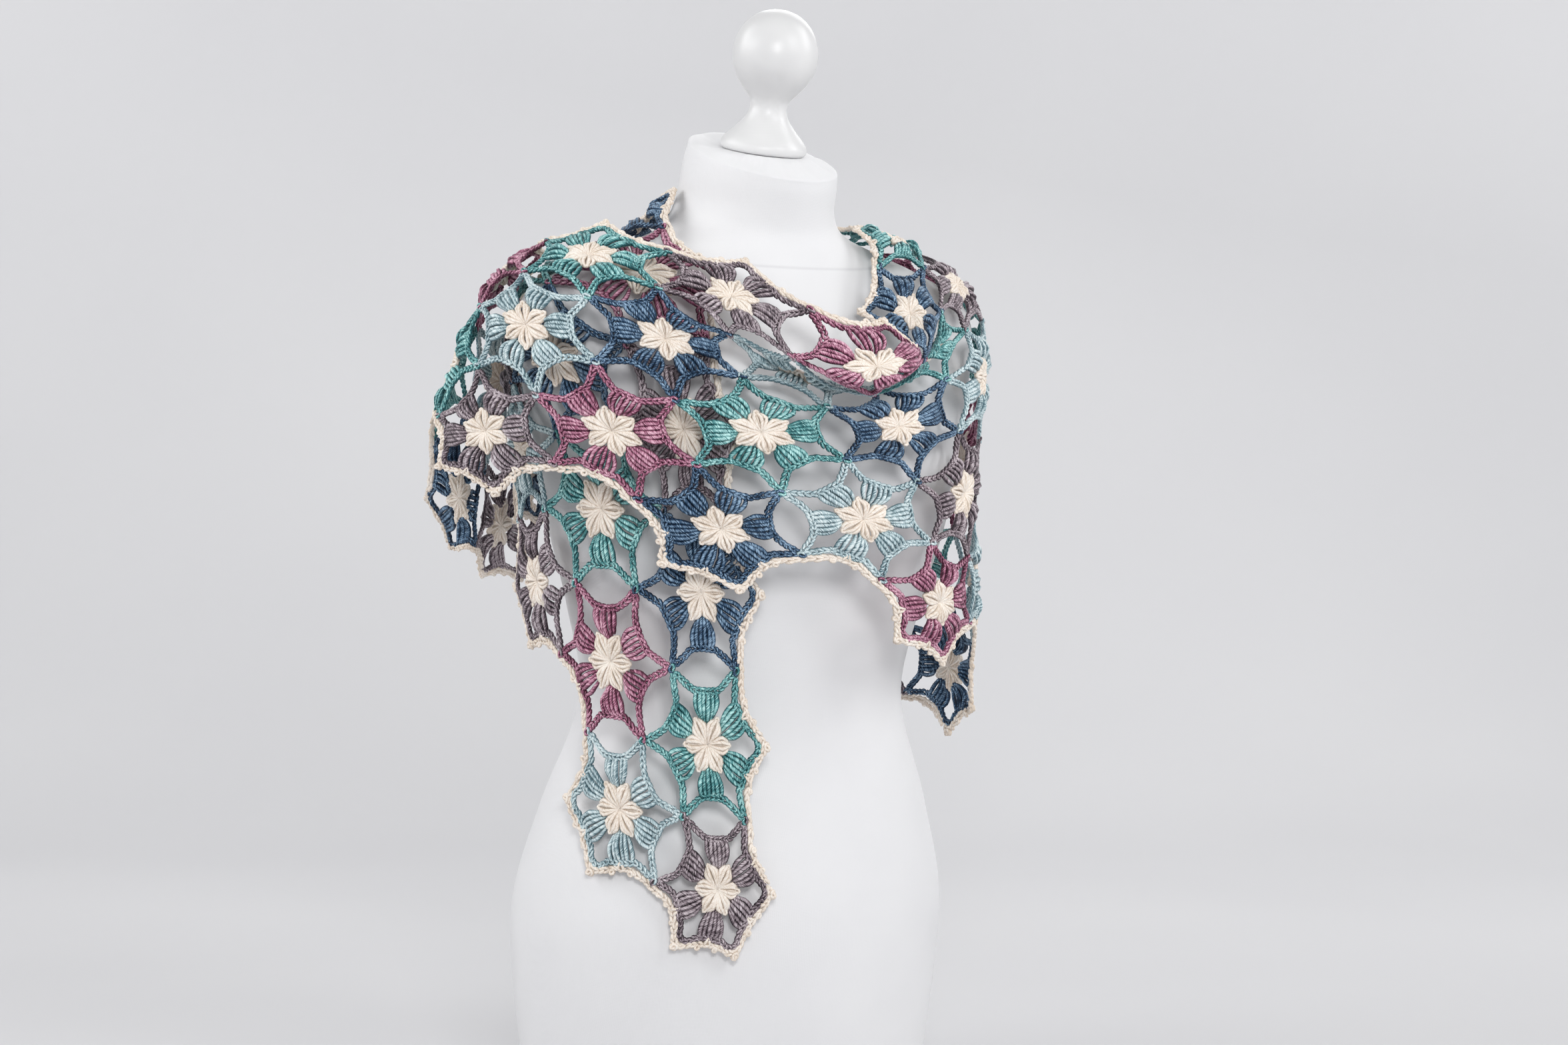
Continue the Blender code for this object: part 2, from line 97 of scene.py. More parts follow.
FOLDS = [
    # name, place, row, length, width, then how far it moves turn, reach and height
    ("cowl roll", 2.0, 0.25, 0.8, 0.55, -13, 37, -22),
    ("valley under the cowl", 1.35, 1.05, 0.9, 0.45, -2, -32, 0),
    ("cowl turn", 2.75, 0.3, 0.5, 0.7, 1, 12, -8),
    ("cowl corner", 2.4, -0.38, 0.6, 0.5, 7, 15, -12),
    ("cowl lip", 2.0, 0.72, 0.5, 0.35, 0, 3, -9),
    ("droop of the over end", -2.6, 1.1, 0.85, 0.8, 8, -5, -28),
    ("tuck behind the front end", 8.0, 2.6, 0.7, 0.8, -1, -5, 7),
]

# Stitches, in mm on the flat cloth
TUBE_SIDES = 5
UV_PER_MM = 0.1
UV_SHIFT = 50
STAR_YARN = 1.5
CLUSTER_YARN = 1.72
CHAIN_YARN = 1.4
EDGING_YARN = 1.5
STAR_INNER = ((1.0, 0.25), (3.5, 0.8), (7.0, 1.5), (10.5, 2.0), (14.0, 2.3), (16.8, 1.7), (19.6, 0.6))
STAR_OUTER = ((1.0, 0.45), (3.5, 1.45), (7.0, 2.9), (10.2, 4.3), (13.4, 5.2), (16.2, 4.1), (18.4, 2.3))
STAR_RISE = np.array([-0.6, 0.6, 1.7, 2.3, 2.2, 1.4, 0.5])
STAR_SIZES = np.array([0.42, 0.66, 0.88, 1.05, 1.12, 1.02, 0.72])
FLOOR_YARN = 1.35
FLOOR_ENDS = (11.8, 17.5)
FLOOR_RISE = np.array([-0.6, 0.0, 0.4, 0.2])
FLOOR_SIZES = np.array([0.5, 0.9, 1.0, 0.8])
TIP_YARN = 1.1
TIP_REACH = 18.7
CLUSTER_FROM, CLUSTER_HALF, CLUSTER_STRANDS = 15.0, 9.3, 6
CLUSTER_WIDTH = np.array([0.58, 0.74, 0.88, 0.98, 1.03, 1.04, 1.0, 0.92])
CLUSTER_RISE = np.array([-0.4, 1.9, 3.3, 3.9, 3.8, 3.1, 1.8, 0.2])
CLUSTER_SIZES = np.array([0.70, 0.90, 1.02, 1.10, 1.12, 1.10, 1.0, 0.76])
CHAIN_PITCH, CHAIN_HALF = 4.3, 1.9
EDGING_PITCH, EDGING_HALF = 4.9, 2.0
KNOT_YARN = 1.2
PICOT_YARN, PICOT_REACH = 1.3, 56.4
BUMP_YARN, BUMP_REACH, BUMP_SHIFT = 1.25, 46.2, 8.0
TIE_YARN, TIE_FROM, TIE_LENGTH = 1.2, 37.6, 5.4
ARM_STEPS = np.array([0.0, 0.34, 0.68, 1.0])
ARM_SIZES = np.array([0.62, 1.0, 0.98, 0.6])
ARM_BEGIN, ARM_REACH = -0.12, 1.32

# Frame of a motif: how far out its sides, shoulders and corners lie, free ones and joined ones
SIDE_REACH_FREE, SIDE_REACH_JOINED, SIDE_HALF = 38.4, 36.0, 8.0
SHOULDER_FREE, SHOULDER_JOINED = (39.6, 12.5), (36.6, 11.6)
CORNER_FREE = ((47.0, -5.0), (48.6, 0.0), (47.0, 5.0))
CORNER_JOINED = ((47.0, -4.1), (55.2, -1.2), (55.2, 1.2), (47.0, 4.1))
EDGING_REACH, EDGING_OFFSET = 43.4, 9.0
EDGING_CORNER = ((-5.6, 51.6), (0.0, 54.2), (5.6, 51.6))
EDGING_JOINT = 4.6


def hermite_weights(t, knots):
    """Weights of a smooth curve through the knots, one row for each value of t."""
    n = len(knots)
    i = np.clip(np.searchsorted(knots, t, side="right") - 1, 0, n - 2)
    span = knots[i + 1] - knots[i]
    s = (t - knots[i]) / span
    beyond = (s < 0) | (s > 1)
    start = np.where(beyond, 1 - s, 2 * s**3 - 3 * s**2 + 1)
    finish = np.where(beyond, s, 3 * s**2 - 2 * s**3)
    leave = np.where(beyond, 0, s**3 - 2 * s**2 + s)
    arrive = np.where(beyond, 0, s**3 - s**2)
    weights = np.zeros((len(t), n))
    rows = np.arange(len(t))
    np.add.at(weights, (rows, i), start)
    np.add.at(weights, (rows, i + 1), finish)
    for knot, slope in ((i, leave), (i + 1, arrive)):
        low = np.clip(knot - 1, 0, n - 1)
        high = np.clip(knot + 1, 0, n - 1)
        share = slope * span / (knots[high] - knots[low])
        np.add.at(weights, (rows, high), share)
        np.add.at(weights, (rows, low), -share)
    return weights


PLACES = np.array([section[0] for section in DRAPE], dtype=float)
TABLE = np.array([section[1:] for section in DRAPE], dtype=float)


def drape(place, row):
    """Points of the cloth's middle layer in mm."""
    along = hermite_weights(place, PLACES)
    across = hermite_weights(row, np.array(DRAPE_ROWS))
    polar = np.einsum("ni,nj,ijk->nk", along, across, TABLE, optimize=True)
    for _, at, level, length, width, turn, reach, height in FOLDS:
        size = np.exp(-((place - at) / length) ** 2 - ((row - level) / width) ** 2)
        polar = polar + size[:, None] * np.array([turn, reach, height])
    angle = np.radians(polar[:, 0])
    x = polar[:, 1] * np.sin(angle)
    y = DRAPE_AXIS_Y - polar[:, 1] * np.cos(angle)
    return np.stack([x, y, polar[:, 2]], axis=1)


def on_cloth(points):
    """Map flat points (x, y, offset) of shape (..., 3) onto the cloth. Returns points and normals."""
    shape = points.shape
    flat = points.reshape(-1, 3)
    place = flat[:, 0] / PITCH
    row = flat[:, 1] / ROW_STEP
    along = drape(place + PROBE, row) - drape(place - PROBE, row)
    across = drape(place, row + PROBE) - drape(place, row - PROBE)
    normal = np.cross(across, along)
    normal = normal / np.linalg.norm(normal, axis=1)[:, None]
    out = drape(place, row) + normal * flat[:, 2:3]
    return out.reshape(shape), normal.reshape(shape)


def rotate(points, degrees):
    """Rotate flat points about the origin, keeping their offset."""
    a = math.radians(degrees)
    out = points.copy()
    out[..., 0] = points[..., 0] * math.cos(a) - points[..., 1] * math.sin(a)
    out[..., 1] = points[..., 0] * math.sin(a) + points[..., 1] * math.cos(a)
    return out


# Stitch templates
def star():
    """Twelve puffed cream petals of two strands, in six pairs that run together at the corners."""
    strands = []
    for corner in range(6):
        for table, share in ((STAR_INNER, 1.0), (STAR_OUTER, 0.8)):
            reach, spread = np.array(table).T
            for side in (-1, 1):
                strand = np.stack([reach, side * spread, STAR_RISE * share], axis=1)
                strands.append(rotate(strand, 60 * corner + 30))
    return np.array(strands)


def star_floor():
    """Low strands that close the grooves between the petals."""
    strands = []
    for k in range(12):
        reach = np.linspace(0.6, FLOOR_ENDS[k % 2], 4)
        strands.append(rotate(np.stack([reach, np.zeros(4), FLOOR_RISE], axis=1), 30 * k))
    return np.array(strands)


def star_tips():
    """A small loop that locks each point of the star."""
    a = np.linspace(0, 2 * np.pi, 7, endpoint=False)
    ring = np.stack([TIP_REACH + 2.2 * np.cos(a), 1.6 * np.sin(a), 0.9 + 0.5 * np.cos(a + 0.6)], axis=1)
    return np.array([rotate(ring, 60 * corner + 30) for corner in range(6)])


def clusters(reach_of_side):
    """A puffed fan at each side: thick strands that open towards the frame."""
    t = np.linspace(0, 1, 8)
    strands = []
    for side in range(6):
        top = reach_of_side[side] - 0.2
        lean = rng.normal(0.0, 1.1)
        for k in range(CLUSTER_STRANDS):
            lane = 2 * k / (CLUSTER_STRANDS - 1) - 1
            begin = CLUSTER_FROM + 3.2 * lane**2 + rng.normal(0.0, 0.35)
            reach = begin + (top - begin) * t
            spread = CLUSTER_HALF * lane * CLUSTER_WIDTH + lean * t
            height = CLUSTER_RISE * (1 - 0.45 * lane**2) + (0.55 if k % 2 else -0.55) * np.sin(np.pi * t)
            strands.append(rotate(np.stack([reach, spread, height], axis=1), 60 * side))
    return np.array(strands)


def rounded(points, closed):
    """Cut a line's corners twice. Returns the line and the length walked at each of its points."""
    for _ in range(2):
        following = np.roll(points, -1, axis=0) if closed else points[1:]
        here = points if closed else points[:-1]
        cut = np.stack([0.78 * here + 0.22 * following, 0.22 * here + 0.78 * following], axis=1)
        cut = cut.reshape(-1, points.shape[-1])
        points = cut if closed else np.vstack([points[:1], cut, points[-1:]])
    ring = np.vstack([points, points[:1]]) if closed else points
    walked = np.concatenate([[0], np.cumsum(np.linalg.norm(np.diff(ring, axis=0), axis=1))])
    return ring, walked


def stitch_arms(line, pitch, half, closed, loose=0.0):
    """Chain stitches along a flat line, as two slanting arms each. Returns (arms, 4, 3)."""
    ring, walked = rounded(line, closed)
    length = walked[-1]
    count = max(1, round(length / pitch))
    step = length / count

    def at(s):
        s = np.mod(s, length) if closed else np.clip(s, 0.0, length)
        return np.stack([np.interp(s, walked, ring[:, k]) for k in range(3)], axis=-1)

    start = np.arange(count)[:, None] * step
    s = start + step * (ARM_BEGIN + ARM_REACH * ARM_STEPS)[None]
    middle = at(s)
    ahead = at(start + step * 0.9) - at(start - step * 0.1)
    ahead = ahead[..., :2] / np.maximum(np.linalg.norm(ahead[..., :2], axis=-1), 1e-9)[..., None]
    across = np.stack([-ahead[..., 1], ahead[..., 0]], axis=-1)
    spread = half * (0.16 + 0.84 * np.sin(np.pi / 2 * ARM_STEPS) ** 0.9)
    height = 0.85 - 1.35 * ARM_STEPS**1.2
    arms = []
    for side in (-1, 1):
        arm = middle.copy()
        arm[..., :2] += across * (side * spread)[None, :, None]
        arm[..., 2] += height
        arms.append(arm)
    arms = np.concatenate(arms)
    if loose:
        arms = arms + rng.normal(0.0, loose, (len(arms), 1, 3)) * np.array([1.0, 1.0, 0.7])
    return arms


def frame_line(free):
    """Closed middle line of the chain round one motif, and how far each side's cluster reaches."""
    points = []
    reaches = []
    for side in range(6):
        is_free = free[side]
        next_free = free[(side + 1) % 6]
        last_free = free[side - 1]
        out = 60 * side
        reach = SIDE_REACH_FREE if is_free else SIDE_REACH_JOINED
        reaches.append(reach)
        corner_before = is_free and last_free
        corner_after = is_free and next_free
        shoulder = SHOULDER_FREE if corner_before else SHOULDER_JOINED
        points.append(rotate(np.array([shoulder[0], -shoulder[1], 0.6]), out))
        points.append(rotate(np.array([reach, -SIDE_HALF, 1.0]), out))
        points.append(rotate(np.array([reach - 0.5, 0.0, 1.2]), out))
        points.append(rotate(np.array([reach, SIDE_HALF, 1.0]), out))
        shoulder = SHOULDER_FREE if corner_after else SHOULDER_JOINED
        points.append(rotate(np.array([shoulder[0], shoulder[1], 0.6]), out))
        corner = out + 30
        for reach_at, offset in CORNER_FREE if corner_after else CORNER_JOINED:
            points.append(rotate(np.array([reach_at, offset, 0.2]), corner))
    return np.array(points), reaches


# Tubes
class Yarn:
    """Collects tubes and turns them into one mesh."""

    def __init__(self):
        self.points = []
        self.quads = []
        self.tris = []
        self.quad_slots = []
        self.tri_slots = []
        self.quad_uv = []
        self.tri_uv = []
        self.count = 0

    def add(self, flat, radius, slot, closed=False, profile=None):
        """Add tubes along flat lines of shape (strands, n, 3)."""
        centre, normal = on_cloth(flat)
        strands, n, _ = centre.shape
        if closed:
            ahead = np.roll(centre, -1, axis=1) - np.roll(centre, 1, axis=1)
        else:
            ahead = np.gradient(centre, axis=1)
        ahead /= np.maximum(np.linalg.norm(ahead, axis=2), 1e-9)[:, :, None]
        side = np.cross(ahead, normal)
        side /= np.maximum(np.linalg.norm(side, axis=2), 1e-9)[:, :, None]
        up = np.cross(side, ahead)
        angle = 2 * np.pi * np.arange(TUBE_SIDES) / TUBE_SIDES
        sizes = radius * (np.ones(n) if profile is None else profile)
        sideways = side[:, :, None] * np.cos(angle)[None, None, :, None]
        ring = sideways + up[:, :, None] * np.sin(angle)[None, None, :, None]
        tube = centre[:, :, None] + ring * sizes[None, :, None, None]
        steps = np.linalg.norm(np.diff(centre, axis=1), axis=2)
        walked = np.concatenate([np.zeros((strands, 1)), np.cumsum(steps, axis=1)], axis=1)
        shift = rng.random(strands)[:, None] * UV_SHIFT
        body = tube.reshape(-1, 3)
        base = self.count
        self.points.append(body)
        self.count += len(body)
        s = np.arange(strands)[:, None, None] * n * TUBE_SIDES
        rings = n if closed else n - 1
        i = np.arange(rings)[None, :, None]
        j = np.arange(TUBE_SIDES)[None, None, :]
        i2 = (i + 1) % n
        j2 = (j + 1) % TUBE_SIDES
        a = base + s + i * TUBE_SIDES + j
        b = base + s + i * TUBE_SIDES + j2
        c = base + s + i2 * TUBE_SIDES + j2
        d = base + s + i2 * TUBE_SIDES + j
        quads = np.stack([a, b, c, d], axis=-1).reshape(-1, 4)
        self.quads.append(quads)
        self.quad_slots.append(np.full(len(quads), slot))
        u = (walked + shift) * UV_PER_MM
        closing = u[:, -1:] + np.linalg.norm(centre[:, :1] - centre[:, -1:], axis=2) * UV_PER_MM
        u_next = np.concatenate([u[:, 1:], closing], axis=1)
        u0 = np.broadcast_to(u[:, :rings, None], (strands, rings, TUBE_SIDES))
        u1 = np.broadcast_to(u_next[:, :rings, None], (strands, rings, TUBE_SIDES))
        v0 = np.broadcast_to(j / TUBE_SIDES, (strands, rings, TUBE_SIDES))
        v1 = np.broadcast_to((j + 1) / TUBE_SIDES, (strands, rings, TUBE_SIDES))
        around = [(u0, v0), (u0, v1), (u1, v1), (u1, v0)]
        uv = np.stack([np.stack(pair, -1) for pair in around], axis=-2)
        self.quad_uv.append(uv.reshape(-1, 2))
        if closed:
            return
        for end in (0, n - 1):
            tips = centre[:, end] + ahead[:, end] * (0.5 * sizes[end] * (1 if end else -1))
            first = self.count
            self.points.append(tips)
            self.count += strands
            tip = (first + np.arange(strands))[:, None]
            j = np.arange(TUBE_SIDES)[None, :]
            start = base + np.arange(strands)[:, None] * n * TUBE_SIDES + end * TUBE_SIDES
            ring_a = start + j
            ring_b = start + (j + 1) % TUBE_SIDES
            tip = np.broadcast_to(tip, ring_a.shape)
            order = [ring_b, ring_a, tip] if end == 0 else [ring_a, ring_b, tip]
            tri = np.stack(order, axis=-1).reshape(-1, 3)
            self.tris.append(tri)
            self.tri_slots.append(np.full(len(tri), slot))
            uv = np.zeros((len(tri), 3, 2))
            uv[:, :, 0] = np.repeat(u[:, end], TUBE_SIDES)[:, None]
            uv[:, :, 1] = np.array([0.0, 0.2, 0.1])
            self.tri_uv.append(uv.reshape(-1, 2))

    def build(self, name, materials):
        """Make the mesh object."""
        points = np.concatenate(self.points) * MM
        quads = np.concatenate(self.quads)
        tris = np.concatenate(self.tris) if self.tris else np.zeros((0, 3), int)
        mesh = bpy.data.meshes.new(name)
        mesh.vertices.add(len(points))
        mesh.vertices.foreach_set("co", points.astype(np.float32).ravel())
        loops = np.concatenate([quads.ravel(), tris.ravel()]).astype(np.int32)
        mesh.loops.add(len(loops))
        mesh.loops.foreach_set("vertex_index", loops)
        starts = np.concatenate([np.arange(len(quads)) * 4, len(quads) * 4 + np.arange(len(tris)) * 3])
        mesh.polygons.add(len(starts))
        mesh.polygons.foreach_set("loop_start", starts.astype(np.int32))
        for mat in materials:
            mesh.materials.append(mat)
        slots = np.concatenate(self.quad_slots + self.tri_slots)
        mesh.polygons.foreach_set("material_index", slots.astype(np.int32))
        mesh.polygons.foreach_set("use_smooth", np.ones(len(starts), bool))
        layer = mesh.uv_layers.new(name="strand")
        uv = np.concatenate(self.quad_uv + self.tri_uv)
        layer.data.foreach_set("uv", uv.astype(np.float32).ravel())
        mesh.update()
        mesh.validate()
        obj = bpy.data.objects.new(name, mesh)
        bpy.context.scene.collection.objects.link(obj)
        return obj


# Materials
def node(tree, kind, **values):
    """Add a shader node and set its inputs by name or number."""
    made = tree.nodes.new(kind)
    for key, value in values.items():
        if key.startswith("in_"):
            made.inputs[int(key[3:])].default_value = value
        else:
            setattr(made, key, value)
    return made


def new_material(name):
    """A node material, its tree and its shader."""
    mat = bpy.data.materials.new(name)
    mat.use_nodes = True
    return mat, mat.node_tree, mat.node_tree.nodes["Principled BSDF"]


def ramp(tree, stops):
    """A colour ramp through (place, colour) stops."""
    made = tree.nodes.new("ShaderNodeValToRGB")
    while len(made.color_ramp.elements) < len(stops):
        made.color_ramp.elements.new(0.5)
    for element, (at, colour) in zip(made.color_ramp.elements, stops):
        element.position = at
        element.color = (*colour, 1.0)
    return made


def yarn_material(name, deep, main, light, silk, relief):
    """Plied, slightly heathered yarn, with painted shade and painted highlights in its colour. The UV runs
    along and round each strand.
    """
    mat, tree, shader = new_material(name)
    link = tree.links.new
    uv = node(tree, "ShaderNodeUVMap", uv_map="strand")
    split = node(tree, "ShaderNodeSeparateXYZ")
    link(uv.outputs[0], split.inputs[0])
    lengthwise = node(tree, "ShaderNodeMath", operation="MULTIPLY", in_1=2.0)
    link(split.outputs[0], lengthwise.inputs[0])
    twist = node(tree, "ShaderNodeMath", operation="MULTIPLY_ADD", in_1=1.3)
    link(split.outputs[0], twist.inputs[0])
    link(split.outputs[1], twist.inputs[2])
    crosswise = node(tree, "ShaderNodeMath", operation="MULTIPLY", in_1=7.0)
    link(twist.outputs[0], crosswise.inputs[0])
    fibre = node(tree, "ShaderNodeCombineXYZ")
    link(lengthwise.outputs[0], fibre.inputs[0])
    link(crosswise.outputs[0], fibre.inputs[1])
    # Streaks along each strand: partly the yarn's own heathering, partly painted highlights of its silky
    # sheen.
    streak = node(tree, "ShaderNodeTexNoise", in_2=1.3, in_3=3.0, in_4=0.65)
    link(fibre.outputs[0], streak.inputs[0])
    turns = node(tree, "ShaderNodeMath", operation="MULTIPLY", in_1=4 * math.pi)
    link(twist.outputs[0], turns.inputs[0])
    wave = node(tree, "ShaderNodeMath", operation="SINE")
    link(turns.outputs[0], wave.inputs[0])
    ply = node(tree, "ShaderNodeMapRange", in_1=-1.0, in_2=1.0, in_3=0.0, in_4=1.0)
    link(wave.outputs[0], ply.inputs[0])

    place = node(tree, "ShaderNodeTexCoord")
    blotch = node(tree, "ShaderNodeTexNoise", in_2=80.0, in_3=2.0, in_4=0.5)
    link(place.outputs["Object"], blotch.inputs[0])
    mixed = node(tree, "ShaderNodeMath", operation="MULTIPLY_ADD", in_1=0.25)
    link(blotch.outputs[0], mixed.inputs[0])
    share = node(tree, "ShaderNodeMath", operation="MULTIPLY", in_1=0.70)
    link(streak.outputs[0], share.inputs[0])
    link(share.outputs[0], mixed.inputs[2])
    # The ply wave puts a faint painted shade in the grooves of the twist and painted light on its crests.
    shade = node(tree, "ShaderNodeMath", operation="MULTIPLY_ADD", in_1=0.03)
    link(ply.outputs[0], shade.inputs[0])
    link(mixed.outputs[0], shade.inputs[2])
    # Painted shade round each strand: its sides, where it lies against its neighbours, are drawn darker, and
    # its top and underside lighter.
    round_strand = node(tree, "ShaderNodeMath", operation="MULTIPLY", in_1=4 * math.pi)
    link(split.outputs[1], round_strand.inputs[0])
    sideways = node(tree, "ShaderNodeMath", operation="COSINE")
    link(round_strand.outputs[0], sideways.inputs[0])
    painted_side_shade = node(tree, "ShaderNodeMath", operation="MULTIPLY_ADD", in_1=-0.065)
    link(sideways.outputs[0], painted_side_shade.inputs[0])
    link(shade.outputs[0], painted_side_shade.inputs[2])
    # From the deep colour through the main one to the light one: the deep end is partly the yarn's dark
    # heathered hue and partly painted shade in its grooves, the light end partly its pale hue and partly
    # painted highlight.
    colours = ramp(tree, [(0.44, deep), (0.525, main), (0.64, light)])
    link(painted_side_shade.outputs[0], colours.inputs[0])
    link(colours.outputs[0], shader.inputs["Base Color"])
    rough = node(tree, "ShaderNodeMapRange", in_1=0.3, in_2=0.7, in_3=0.72 - silk, in_4=0.88 - silk)
    link(streak.outputs[0], rough.inputs[0])
    link(rough.outputs[0], shader.inputs["Roughness"])
    shader.inputs["Specular IOR Level"].default_value = 0.3
    shader.inputs["Sheen Weight"].default_value = 0.08
    shader.inputs["Sheen Roughness"].default_value = 0.45
    shader.inputs["Sheen Tint"].default_value = (*light, 1.0)
    height = node(tree, "ShaderNodeMath", operation="MULTIPLY_ADD", in_1=0.10)
    link(ply.outputs[0], height.inputs[0])
    link(share.outputs[0], height.inputs[2])
    bump = node(tree, "ShaderNodeBump")
    bump.inputs["Strength"].default_value = relief
    bump.inputs["Distance"].default_value = 0.0004
    link(height.outputs[0], bump.inputs["Height"])
    link(bump.outputs[0], shader.inputs["Normal"])
    return mat


def jersey_material():
    """Stretched white jersey: fine wales, faint shade variation and a seam round the base of the neck."""
    mat, tree, shader = new_material("white_jersey_knit")
    link = tree.links.new
    place = node(tree, "ShaderNodeTexCoord")
    split = node(tree, "ShaderNodeSeparateXYZ")
    link(place.outputs["Object"], split.inputs[0])
    wale = node(tree, "ShaderNodeTexWave", in_1=420.0, in_2=1.5, in_3=2.0)
    wale.bands_direction = "X"
    link(place.outputs["Object"], wale.inputs[0])
    course = node(tree, "ShaderNodeTexWave", in_1=520.0, in_2=1.0, in_3=2.0)
    course.bands_direction = "Z"
    link(place.outputs["Object"], course.inputs[0])
    knit = node(tree, "ShaderNodeMath", operation="MULTIPLY")
    link(wale.outputs[1], knit.inputs[0])
    link(course.outputs[1], knit.inputs[1])
    cloud = node(tree, "ShaderNodeTexNoise", in_2=9.0, in_3=3.0)
    link(place.outputs["Object"], cloud.inputs[0])
    tilt = node(tree, "ShaderNodeMath", operation="MULTIPLY_ADD", in_1=-0.38)
    link(split.outputs[1], tilt.inputs[0])
    link(split.outputs[2], tilt.inputs[2])
    away = node(tree, "ShaderNodeMath", operation="SUBTRACT", in_1=0.650)
    link(tilt.outputs[0], away.inputs[0])
    gap = node(tree, "ShaderNodeMath", operation="ABSOLUTE")
    link(away.outputs[0], gap.inputs[0])
    seam = node(tree, "ShaderNodeMapRange", in_1=0.0002, in_2=0.0012, in_3=1.0, in_4=0.0)
    link(gap.outputs[0], seam.inputs[0])
    colours = ramp(tree, [(0.3, (0.76, 0.76, 0.775)), (0.7, (0.80, 0.80, 0.81))])
    link(cloud.outputs[0], colours.inputs[0])
    darker = node(tree, "ShaderNodeMix", data_type="RGBA")
    darker.inputs["B"].default_value = (0.60, 0.60, 0.62, 1.0)
    faint = node(tree, "ShaderNodeMath", operation="MULTIPLY", in_1=0.45)
    link(seam.outputs[0], faint.inputs[0])
    link(faint.outputs[0], darker.inputs["Factor"])
    link(colours.outputs[0], darker.inputs["A"])
    link(darker.outputs["Result"], shader.inputs["Base Color"])
    rough = node(tree, "ShaderNodeMapRange", in_1=0.0, in_2=1.0, in_3=0.80, in_4=0.92)
    link(knit.outputs[0], rough.inputs[0])
    link(rough.outputs[0], shader.inputs["Roughness"])
    shader.inputs["Sheen Weight"].default_value = 0.25
    shader.inputs["Sheen Roughness"].default_value = 0.5
    height = node(tree, "ShaderNodeMath", operation="MULTIPLY_ADD", in_1=-3.0)
    link(seam.outputs[0], height.inputs[0])
    link(knit.outputs[0], height.inputs[2])
    bump = node(tree, "ShaderNodeBump")
    bump.inputs["Strength"].default_value = 0.35
    bump.inputs["Distance"].default_value = 0.0002
    link(height.outputs[0], bump.inputs["Height"])
    link(bump.outputs[0], shader.inputs["Normal"])
    return mat


def cap_material():
    """White satin paint on turned wood, with faint brushed turning lines."""
    mat, tree, shader = new_material("white_satin_paint")
    link = tree.links.new
    place = node(tree, "ShaderNodeTexCoord")
    cloud = node(tree, "ShaderNodeTexNoise", in_2=22.0, in_3=4.0)
    link(place.outputs["Object"], cloud.inputs[0])
    colours = ramp(tree, [(0.3, (0.68, 0.68, 0.685)), (0.7, (0.72, 0.72, 0.72))])
    link(cloud.outputs[0], colours.inputs[0])
    link(colours.outputs[0], shader.inputs["Base Color"])
    rough = node(tree, "ShaderNodeMapRange", in_1=0.3, in_2=0.7, in_3=0.28, in_4=0.42)
    link(cloud.outputs[0], rough.inputs[0])
    link(rough.outputs[0], shader.inputs["Roughness"])
    turning = node(tree, "ShaderNodeTexWave", in_1=260.0, in_2=0.6, in_3=1.0)
    turning.bands_direction = "Z"
    link(place.outputs["Object"], turning.inputs[0])
    bump = node(tree, "ShaderNodeBump")
    bump.inputs["Strength"].default_value = 0.12
    bump.inputs["Distance"].default_value = 0.0001
    link(turning.outputs[1], bump.inputs["Height"])
    link(bump.outputs[0], shader.inputs["Normal"])
    return mat


def backdrop_material():
    """Plain pale paper sweep."""
    mat, tree, shader = new_material("pale_paper")
    link = tree.links.new
    place = node(tree, "ShaderNodeTexCoord")
    cloud = node(tree, "ShaderNodeTexNoise", in_2=1.2, in_3=2.0)
    link(place.outputs["Object"], cloud.inputs[0])
    colours = ramp(tree, [(0.3, (0.63, 0.63, 0.645)), (0.7, (0.66, 0.66, 0.672))])
    link(cloud.outputs[0], colours.inputs[0])
    link(colours.outputs[0], shader.inputs["Base Color"])
    shader.inputs["Roughness"].default_value = 0.9
    return mat


YARNS = {
    # letter: material name, deep, main and light colours, silkiness, relief; the deep colour is partly
    # painted shade and the light one partly painted highlight
    "T": ("yarn_teal", (0.006, 0.060, 0.070), (0.090, 0.320, 0.330), (0.560, 0.860, 0.830), 0.32, 0.8),
    "P": ("yarn_dusty_pink", (0.050, 0.008, 0.022), (0.350, 0.105, 0.190), (0.820, 0.520, 0.620), 0.32, 0.8),
    "L": ("yarn_light_blue", (0.080, 0.150, 0.180), (0.430, 0.560, 0.600), (0.820, 0.900, 0.900), 0.32, 0.8),
    "D": ("yarn_dark_blue", (0.003, 0.009, 0.024), (0.018, 0.062, 0.134), (0.330, 0.480, 0.640), 0.32, 0.8),
    "G": ("yarn_purplish_grey", (0.028, 0.019, 0.026), (0.215, 0.165, 0.190), (0.660, 0.590, 0.620), 0.32,
          0.8),
    "C": ("yarn_cream", (0.680, 0.580, 0.480), (0.860, 0.770, 0.685), (0.930, 0.880, 0.810), 0.05, 0.45),
}
LETTERS = "TPLDGC"
yarn_mats = [yarn_material(YARNS[k][0] + "_yarn", *YARNS[k][1:]) for k in LETTERS]
CREAM = LETTERS.index("C")


# Motifs
def motif_centres():
    """The yarn letter of each motif, by its place and row."""
    return {(first + k, row): yarn for row, first, yarns in MOTIF_ROWS for k, yarn in enumerate(yarns)}


def neighbour(place, row, side):
    """Place and row of the motif beyond a side."""
    step = NEIGHBOURS[side]
    return (place + step[0], row + step[1])


CENTRES = motif_centres()


def wobble(shape, size):
    """Small random offsets, so that no two stitches are the same."""
    return rng.normal(0.0, size, shape)


